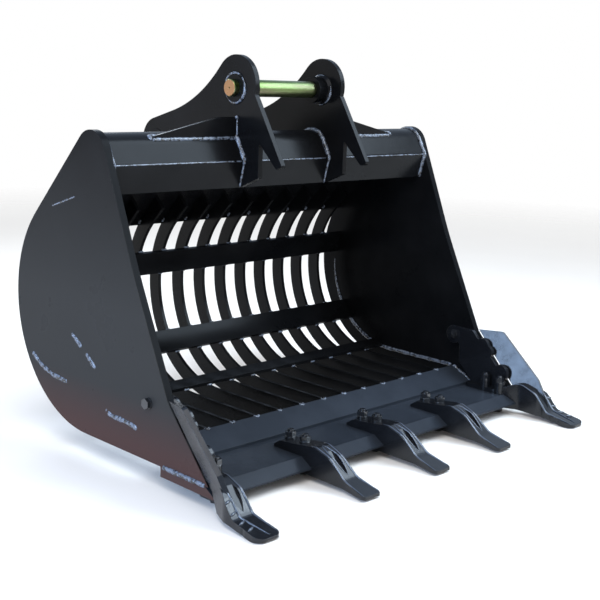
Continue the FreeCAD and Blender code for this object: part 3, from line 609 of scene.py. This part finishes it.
class BUCKET_OT_paint_frame(bpy.types.Operator):
    """Paint every plate, rib, bar, tooth, bolt and the pin"""

    bl_idname = "bucket.paint_frame"
    bl_label = "Paint Frame"

    def execute(self, context):
        _, look, _ = settings()
        plate = gloss_paint("plate_paint", tuple(look.paint), look.roughness, look.sheen, look.edge)
        side = side_paint(look)
        lip = lip_paint(look)
        cast = cast_paint("cast_paint", tuple(look.cast), tuple(look.warm), look.edge)
        bolt = gloss_paint("bolt_paint", tuple(look.cast), look.roughness - 0.08, 0.9, look.edge * 0.6)
        zinc = zinc_plate("yellow_zinc", tuple(look.zinc), tuple(look.zinc_tint), tuple(look.pin_end),
                          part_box("dipper_pin")[0].x)
        for name, node in NODES.items():
            if name == "dipper_pin":
                dress(node, zinc)
            elif "tooth_bolts" in name or "side_bolt" in name:
                dress(node, bolt.material)
            elif "tooth" in name:
                dress(node, cast)
            elif "side_plate" in name:
                dress(node, side)
            elif name in ("lip_plate", "cutting_edge"):
                dress(node, lip)
            else:
                dress(node, plate.material)
        return {"FINISHED"}


def beam_line():
    """(y, z) outline over the beam: up its face, over the fold and the crown, down to the ear's foot."""
    return rounded([FACE_FOOT, FACE_TOP, RIDGE, SEAM, EAR_FOOT], [0, FOLD_R, CROWN_R, 0, 0], 14)


class BUCKET_OT_ear_welds(bpy.types.Operator):
    """Lay the beads along both sides of the ears, round their bushes and along the gussets"""

    bl_idname = "bucket.ear_welds"
    bl_label = "Ear Welds"

    def execute(self, context):
        welds, _, _ = settings()
        line = beam_line()

        def along_ears(hand):
            return [weld_grid(on_x(line, hand * x), (1, 0, 0), welds.ear_bead, welds.ripple, seed=x,
                              swell=EAR_SWELL)
                    for x in (EAR_IN, EAR_OUT)]

        dress(mesh_piece("ear_welds", both_sides(along_ears)), bead_paint())

        def rings(hand):
            found = []
            bushes = ((PIN, PIN_RING_IN, EAR_IN), (PIN, PIN_RING_OUT, EAR_OUT), (LINK, LINK_RING, EAR_IN))
            for centre, radius, x in bushes:
                circle = on_x(arc(centre, radius, 0, 360, 73)[:-1], hand * x)
                found.append(weld_grid(circle, (1, 0, 0), RING_BEAD, welds.ripple, closed=True,
                                       swell=RING_SWELL))
            return found

        dress(mesh_piece("bush_welds", both_sides(rings), closed=True), bead_paint())

        gusset_low, gusset_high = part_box("beam_gusset_right")
        front, rear = gusset_low.y / MM - SHIFT_Y, gusset_high.y / MM - SHIFT_Y
        reach, top = gusset_high.x / MM, gusset_high.z / MM - SHIFT_Z

        def gussets(hand):
            found = []
            for y in (front, rear):
                z = crown_height(y)
                foot = [(hand * (EAR_OUT + 4), y, z), (hand * reach, y, z)]
                found.append(weld_grid(foot, (0, 1, 0), welds.plate_bead, welds.ripple, seed=y))
                upright = [(hand * EAR_OUT, y, z), (hand * EAR_OUT, y, top)]
                found.append(weld_grid(upright, (0, 1, 0), welds.rib_bead * 0.8, welds.ripple, seed=y + 1))
            outer = hand * (reach + 3)
            end = [
                (hand * reach, front - 2, crown_height(front)),
                (outer, front + 2, crown_height(front + 2)),
                (outer, rear - 2, crown_height(rear - 2)),
                (hand * reach, rear + 2, crown_height(rear)),
            ]
            found.append(weld_grid(end, (0, 0, 1), welds.plate_bead * 1.25, welds.ripple))
            crown = [(hand * (EAR_OUT - 1), front - 3, top - 3), (hand * (EAR_OUT + 9), front - 1, top + 1)]
            found.append(weld_grid(crown, (0, 1, 0), welds.plate_bead, welds.ripple))
            return found

        dress(mesh_piece("gusset_welds", both_sides(gussets)), bead_paint())
        return {"FINISHED"}


def crown_height(y):
    """Height of the beam's top surface at y."""
    line = beam_line()
    rising = line[: int(np.argmax(line[:, 1])) + 1]
    upper = rising[rising[:, 1] > FACE_TOP[1]]
    return float(np.interp(y, upper[:, 0], upper[:, 1]))


class BUCKET_OT_plate_welds(bpy.types.Operator):
    """Lay the beads between the side plates and the beam, back, lip and edge, inside and out"""

    bl_idname = "bucket.plate_welds"
    bl_label = "Plate Welds"

    def execute(self, context):
        welds, _, _ = settings()
        size, ripple = welds.plate_bead, welds.ripple
        crown = beam_line()

        def inside(hand):
            """Beads in the corner between a side plate and the beam, lip, back, closing plate and heel."""
            x = hand * (PLATE_IN - INNER_SUNK)
            thickness = 1.35 if hand > 0 else 0.7
            heel = [(4.0, 0.0), (HEEL[0], 0.0)] + arc(HEEL, BOWL_R, -88, 0, 30).tolist()
            return [
                weld_grid(on_x(crown, x), (1, 0, 0), size * thickness, ripple, seed=1.0),
                weld_grid(on_x(LIP_SLOPE, x), (1, 0, 0), size * 1.2, ripple, seed=2.0),
                weld_grid(on_x(LIP_TOE, x), (1, 0, 0), size, ripple, seed=2.5),
                weld_grid(on_x([SEAM, SHOULDER], x), (1, 0, 0), size, ripple, seed=3.0),
                weld_grid(on_x(CLOSING_LINE, x), (1, 0, 0), size * 0.8, ripple, seed=4.0),
                weld_grid(on_x(heel, x), (1, 0, 0), size * 1.2, ripple, seed=5.0, swell=FLOOR_SWELL),
            ]

        dress(mesh_piece("inner_plate_welds", both_sides(inside)), bead_paint())

        y, z = FACE_TOP[0] + 1.5, FACE_TOP[1] - 1.0
        fold = weld_grid([(-PLATE_IN + 2, y, z), (PLATE_IN - 2, y, z)], (0, 1, 0), welds.rib_bead * 0.6,
                         ripple=ripple * 1.3)
        dress(mesh_piece("fold_weld", [fold]), bead_paint())

        def outside(hand):
            """Flat stitches on a side plate's skin, a faint one above, and the bead on its low edge."""
            found = []
            for number, points in enumerate(STITCHES):
                stitch = on_x(points, hand * (PLATE_OUT - STITCH_SUNK))
                found.append(weld_grid(stitch, (1, 0, 0), welds.stitch_bead, ripple, seed=number))
            faint = on_x(FAINT_STITCH, hand * (PLATE_OUT - FAINT_SUNK))
            found.append(weld_grid(faint, (1, 0, 0), FAINT_BEAD, ripple * 2, seed=FAINT_STITCH[0][0]))
            low = on_x(LOW_LINE, hand * (PLATE_OUT - LOW_SUNK))
            found.append(weld_grid(low, (1, 0, 0), size * 1.3, ripple, seed=9.0))
            return found

        dress(mesh_piece("outer_plate_welds", both_sides(outside)), bead_paint())
        return {"FINISHED"}


def heel_point(radius, degrees):
    """(y, z) on a circle about the heel's centre."""
    a = math.radians(degrees)
    return HEEL[0] + radius * math.cos(a), HEEL[1] + radius * math.sin(a)


class BUCKET_OT_rib_welds(bpy.types.Operator):
    """Lay the small beads where the ribs meet the lip, the cross bars and the back plate"""

    bl_idname = "bucket.rib_welds"
    bl_label = "Rib Welds"

    def execute(self, context):
        welds, _, _ = settings()
        size, ripple = welds.rib_bead, welds.ripple * 0.8
        found = []
        for number in range(1, RIB_COUNT + 1):
            low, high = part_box(f"rib_{number:02d}")
            x0, x1 = low.x / MM, high.x / MM
            middle = (x0 + x1) / 2
            toe = [
                (x0 - 1.0, 6.0, -1.0),
                (x0 - 0.5, -1.0, -1.2),
                (middle, -4.0, -2.2),
                (x1 + 0.5, -1.0, -1.2),
                (x1 + 1.0, 6.0, -1.0),
            ]
            found.append(weld_grid(toe, (0, 0, 1), size, ripple, seed=number))
            for angle, width in BARS:
                half = math.degrees(width / 2 / BOWL_R)
                for end in (-1, 1):
                    y, z = heel_point(BOWL_R - 1.0, angle + end * (half + 0.35))
                    across = [(x0 - 4.0, y, z), (x1 + 4.0, y, z)]
                    found.append(weld_grid(across, (0, 1, 0.3), size * 0.9, ripple, seed=number + angle))
            top = [heel_point(BACK_R - 12.0, 35.5), heel_point(BACK_R - 12.0, 38.5)]
            for x in (x0, x1):
                found.append(weld_grid(on_x(top, x), (1, 0, 0), size * 1.3, ripple, seed=number + x))
        dress(mesh_piece("rib_welds", found), bead_paint())
        return {"FINISHED"}


def ridge_grid(path, sizes):
    """A cast ridge: a tube on the tooth's skin whose radius swells and fades along its run."""
    even, s = polyline(path, 3.0)
    radius = np.interp(s / s[-1], np.linspace(0, 1, len(sizes)), sizes)
    return tube_grid(even, np.repeat(radius[:, None], RING_POINTS, axis=1), np.array([1.0, 0.02, 0.0]), False)


def centre_ridges(number, crest):
    """Ridges of a centre tooth: down both edges of its top, and round its pocket."""
    low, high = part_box(f"centre_tooth_{number}")
    middle = (low.x + high.x) / 2 / MM
    half = np.interp(-crest[:, 0], TOOTH_RUN, TOOTH_HALF)
    found = []
    for hand in (1, -1):
        found.append(ridge_grid(np.column_stack([middle + hand * half, crest]), (0.3, 1.8, 2.6, 2.2, 0.5)))
        found.append(ridge_grid(pocket_rim(middle, hand, crest), (0.3, 1.7, 1.9, 1.5, 0.3)))
    return found


def pocket_rim(middle, hand, crest):
    """One side of the lens-shaped pocket: a sine's width beside the middle, down the tooth's top line."""
    run = np.linspace(POCKET_START, POCKET_END, 24)
    share = (run - POCKET_START) / (POCKET_END - POCKET_START)
    x = middle + hand * POCKET_HALF * np.sin(np.pi * share) ** 0.7
    return np.column_stack([x, -run, np.interp(run, -crest[:, 0], crest[:, 1])])


def corner_ridges(hand):
    """Ridges of a corner tooth: down both sides of its pocket, and four knuckles to its outer edge."""
    crest = rounded(CORNER_LINE, CORNER_RADII, 10)
    run = -crest[:, 0]
    nose = PLATE_IN - NOSE_IN
    found = []
    for spots, sizes, start in (
        ((-6, 3, 4, 4, 5), (0.3, 2.2, 3.0, 2.4, 0.4), CORNER_RUN[0]),
        ((40, 42, 43, 41, 30), (0.3, 1.8, 3.2, 2.2, 0.4), OUTER_RIDGE_START),
    ):
        x = np.interp(run, CORNER_RUN, [nose + spot for spot in spots])
        found.append(ridge_grid(np.column_stack([hand * x, crest])[run >= start], sizes))
    for y in KNUCKLES:
        z = float(np.interp(-y, run, crest[:, 1]))
        across = [(nose + 41, y + 5, z + 3), (nose + 52, y + 1, z + 0.5), (nose + 64, y - 3, z)]
        found.append(ridge_grid([(hand * x, *rest) for x, *rest in across], (0.5, 3.2, 3.6, 0.6)))
    return found


class BUCKET_OT_tooth_ridges(bpy.types.Operator):
    """Raise the cast ridges down each tooth and round its pocket"""

    bl_idname = "bucket.tooth_ridges"
    bl_label = "Tooth Ridges"

    def execute(self, context):
        _, look, _ = settings()
        # The ridges get a lighter, bluer paint than the teeth: a painted highlight
        ridge = gloss_paint("ridge_paint", tuple(look.ridge), 0.14, 1.0, 0.0).material
        crest = rounded(TOOTH_LINE, TOOTH_RADII, 10)
        found = []
        for number in (1, 2, 3):
            found += centre_ridges(number, crest)
        found += both_sides(corner_ridges)
        dress(mesh_piece("tooth_ridges", found), ridge)
        return {"FINISHED"}


def thread_grid(x, y, low, high, radius, pitch):
    """A bolt end's thread: a surface whose radius rises and falls with height and angle together."""
    z = np.linspace(low, high, int((high - low) / pitch * 6) + 2)
    theta = np.linspace(0, 2 * np.pi, 16, endpoint=False)
    phase = np.mod(z[:, None] / pitch - theta[None, :] / (2 * np.pi), 1.0)
    r = radius + THREAD_DEPTH * (1 - 2 * np.abs(phase - 0.5))
    r *= np.interp(z, [low, high - 1.2, high], [1.0, 1.0, 0.84])[:, None]
    return np.stack([x + r * np.cos(theta), y + r * np.sin(theta), np.repeat(z[:, None], 16, axis=1)], axis=2)


class BUCKET_OT_bolt_threads(bpy.types.Operator):
    """Cut the threads that stand above the tooth nuts"""

    bl_idname = "bucket.bolt_threads"
    bl_label = "Bolt Threads"

    def execute(self, context):
        found = []
        for number in range(1, 6):
            low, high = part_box(f"tooth_bolts_{number}")
            x = (low.x + high.x) / 2 / MM
            top = high.z / MM - SHIFT_Z
            ends = top - THREAD_SHOWN, top + THREAD_ABOVE
            for y in BOLT_ROWS:
                found.append(thread_grid(x, y, *ends, THREAD_R, THREAD_PITCH))
        dress(mesh_piece("bolt_threads", found), bpy.data.materials["bolt_paint"])
        return {"FINISHED"}


# Studio

# The plain background's colour at heights from straight down, 0, to straight up, 1
BACKGROUND = (
    (0.09, (1.0, 1.0, 1.0)),
    (0.16, (0.18, 0.19, 0.21)),
    (0.23, (0.22, 0.25, 0.30)),
    (0.31, (0.58, 0.70, 0.88)),
    (0.5, (0.62, 0.76, 0.95)),
    (1.0, (0.45, 0.62, 0.95)),
)
SOFT_WHITE = (0.96, 0.98, 1.0)

# Each lamp's name, place, width in metres, share of the key light's power, and colour
LAMPS = (
    ("key_light", (-1.6, -1.4, 3.2), 2.6, 0.5, (1.0, 0.98, 0.96)),
    ("back_light", (0.6, 2.8, 2.2), 1.6, 0.3, (0.9, 0.95, 1.0)),
    ("front_light", (1.6, -1.4, 2.75), 2.3, 0.85, (0.72, 0.86, 1.0)),
    ("side_light", (-2.55, -0.14, 0.86), 1.0, 0.42, (0.46, 0.66, 1.0)),
    ("low_light", (-2.4, 2.0, 0.35), 1.4, 0.02, (1.0, 0.99, 0.98)),
    ("edge_light", (1.47, -1.93, 1.59), 0.9, 0.18, (0.72, 0.86, 1.0)),
)
LAMP_AIM = (0.0, 0.0, 0.3)
SENSOR = 36.0

# The floor disc: its radius, its place just under the ground, and where it starts and ends fading, in metres
FLOOR_R = 9.0
FLOOR_Z = -0.0006
FADE_START, FADE_END = 2.2, 6.5


class BUCKET_OT_set_studio(bpy.types.Operator):
    """Set the camera, the soft lights, the plain background and the pale floor"""

    bl_idname = "bucket.set_studio"
    bl_label = "Set Studio"

    def execute(self, context):
        _, _, studio = settings()
        scene = context.scene
        scene.view_settings.view_transform = "Standard"
        make_camera(scene, studio)
        make_world(scene, studio)
        make_lights(studio)
        make_floor(studio)
        return {"FINISHED"}


def make_camera(scene, studio):
    """Camera whose axes come from its azimuth, elevation and roll."""
    a, e, r = studio.azimuth, studio.elevation, studio.roll
    back = np.array([math.sin(a) * math.cos(e), -math.cos(a) * math.cos(e), math.sin(e)])
    right = np.array([math.cos(a), math.sin(a), 0.0])
    up = np.cross(back, right)
    tilted_right = math.cos(r) * right + math.sin(r) * up
    tilted_up = -math.sin(r) * right + math.cos(r) * up
    turn = Matrix(np.column_stack([tilted_right, tilted_up, back]).tolist()).to_4x4()
    lens = bpy.data.cameras.new("camera")
    lens.sensor_width = SENSOR
    lens.lens = studio.focal
    camera = bpy.data.objects.new("camera", lens)
    scene.collection.objects.link(camera)
    camera.matrix_world = Matrix.Translation(studio.camera_place) @ turn
    scene.camera = camera


def make_world(scene, studio):
    """Soft light all round; the camera and reflections see the plain pale background."""
    world = bpy.data.worlds.new("studio")
    scene.world = world
    world.use_nodes = True
    nodes, links = world.node_tree.nodes, world.node_tree.links
    nodes.clear()
    seen = nodes.new("ShaderNodeLightPath")
    either = nodes.new("ShaderNodeMath")
    either.operation = "MAXIMUM"
    links.new(seen.outputs["Is Camera Ray"], either.inputs[0])
    links.new(seen.outputs["Is Transmission Ray"], either.inputs[1])
    any_seen = nodes.new("ShaderNodeMath")
    any_seen.operation = "MAXIMUM"
    links.new(either.outputs[0], any_seen.inputs[0])
    links.new(seen.outputs["Is Glossy Ray"], any_seen.inputs[1])
    place = nodes.new("ShaderNodeTexCoord")
    split = nodes.new("ShaderNodeSeparateXYZ")
    links.new(place.outputs["Generated"], split.inputs[0])
    height = nodes.new("ShaderNodeValToRGB")
    links.new(split.outputs["Z"], height.inputs["Fac"])
    ramp = height.color_ramp
    ramp.elements[0].position, ramp.elements[0].color = BACKGROUND[0][0], (*BACKGROUND[0][1], 1.0)
    ramp.elements[1].position, ramp.elements[1].color = BACKGROUND[-1][0], (*BACKGROUND[-1][1], 1.0)
    for position, shade in BACKGROUND[1:-1]:
        ramp.elements.new(position).color = (*shade, 1.0)
    plain = nodes.new("ShaderNodeBackground")
    links.new(height.outputs["Color"], plain.inputs["Color"])
    plain.inputs["Strength"].default_value = 1.0
    soft = nodes.new("ShaderNodeBackground")
    soft.inputs["Color"].default_value = (*SOFT_WHITE, 1.0)
    soft.inputs["Strength"].default_value = studio.sky
    blend = nodes.new("ShaderNodeMixShader")
    links.new(any_seen.outputs[0], blend.inputs[0])
    links.new(soft.outputs[0], blend.inputs[1])
    links.new(plain.outputs[0], blend.inputs[2])
    out = nodes.new("ShaderNodeOutputWorld")
    links.new(blend.outputs[0], out.inputs["Surface"])


def make_lights(studio):
    """Soft round lamps that look at the bucket's middle."""
    for name, place, size, share, colour in LAMPS:
        lamp = bpy.data.lights.new(name, "AREA")
        lamp.color = colour
        lamp.shape = "DISK"
        lamp.size = size
        lamp.energy = studio.key * share
        lit = bpy.data.objects.new(name, lamp)
        bpy.context.scene.collection.objects.link(lit)
        aim = Matrix(direction_frame(np.array(place), np.array(LAMP_AIM))).to_4x4()
        lit.matrix_world = Matrix.Translation(place) @ aim


def direction_frame(place, target):
    """Rotation whose -Z points from place to target."""
    back = place - target
    back /= np.linalg.norm(back)
    right = np.cross([0.0, 0.0, 1.0], back)
    right /= np.linalg.norm(right)
    return np.column_stack([right, np.cross(back, right), back]).tolist()


def make_floor(studio):
    """A wide pale disc at the ground, in rings of growing radii, clear at the rim so that no edge shows."""
    rings, spokes = 24, 96
    radius = np.linspace(0.0, 1.0, rings) ** 1.5 * FLOOR_R
    theta = np.linspace(0, 2 * np.pi, spokes, endpoint=False)
    grid = np.stack([radius[:, None] * np.cos(theta), radius[:, None] * np.sin(theta),
                     np.full((rings, spokes), FLOOR_Z)], axis=2)[1:]
    points = np.vstack([[[0.0, 0.0, FLOOR_Z]], grid.reshape(-1, 3)])
    faces = [(0, 1 + i, 1 + (i + 1) % spokes) for i in range(spokes)]
    quads = np.array(grid_faces(rings - 1, spokes, 1, False, caps=False))
    faces += [tuple(f) for f in quads[:, ::-1].tolist()]
    mesh = bpy.data.meshes.new("floor")
    mesh.from_pydata(points.tolist(), [], faces)
    floor = bpy.data.objects.new("floor", mesh)
    bpy.context.scene.collection.objects.link(floor)
    finish = Finish("floor_card")
    fibre = finish.noise(3.0, 4.0, 0.5)
    pale = tuple(studio.floor)
    finish.colour(finish.mix(finish.span(fibre, 0.35, 0.65), pale, [channel * 0.985 for channel in pale]))
    finish.set(Roughness=0.85, Specular_IOR_Level=0.1)
    length = finish.node("ShaderNodeVectorMath", operation="LENGTH")
    finish.link(finish.place, length.inputs[0])
    fade = finish.span(length.outputs["Value"], FADE_START, FADE_END, 1.0, 0.0)
    finish.link(fade, finish.surface.inputs["Alpha"])
    dress(floor, finish.material)


class BUCKET_PT_panel(bpy.types.Panel):
    """Lists the bucket's steps in the sidebar"""

    bl_label = "Skeleton Bucket"
    bl_idname = "BUCKET_PT_panel"
    bl_space_type = "VIEW_3D"
    bl_region_type = "UI"
    bl_category = "Bucket"

    def draw(self, context):
        layout = self.layout
        for step in STEPS:
            layout.operator(step.bl_idname)
        for group in (context.scene.bucket_welds, context.scene.bucket_finish, context.scene.bucket_studio):
            for key in group.__annotations__:
                layout.prop(group, key)


GROUPS = (BucketWelds, BucketFinish, BucketStudio)
STEPS = (
    BUCKET_OT_paint_frame,
    BUCKET_OT_ear_welds,
    BUCKET_OT_plate_welds,
    BUCKET_OT_rib_welds,
    BUCKET_OT_tooth_ridges,
    BUCKET_OT_bolt_threads,
    BUCKET_OT_set_studio,
)


def register():
    for kind in GROUPS + STEPS + (BUCKET_PT_panel,):
        bpy.utils.register_class(kind)
    bpy.types.Scene.bucket_welds = PointerProperty(type=BucketWelds)
    bpy.types.Scene.bucket_finish = PointerProperty(type=BucketFinish)
    bpy.types.Scene.bucket_studio = PointerProperty(type=BucketStudio)


def unregister():
    del bpy.types.Scene.bucket_studio
    del bpy.types.Scene.bucket_finish
    del bpy.types.Scene.bucket_welds
    for kind in reversed(GROUPS + STEPS + (BUCKET_PT_panel,)):
        bpy.utils.unregister_class(kind)


def main():
    register()
    bpy.ops.bucket.paint_frame()
    bpy.ops.bucket.ear_welds()
    bpy.ops.bucket.plate_welds()
    bpy.ops.bucket.rib_welds()
    bpy.ops.bucket.tooth_ridges()
    bpy.ops.bucket.bolt_threads()
    bpy.ops.bucket.set_studio()


if __name__ == "__main__":
    main()
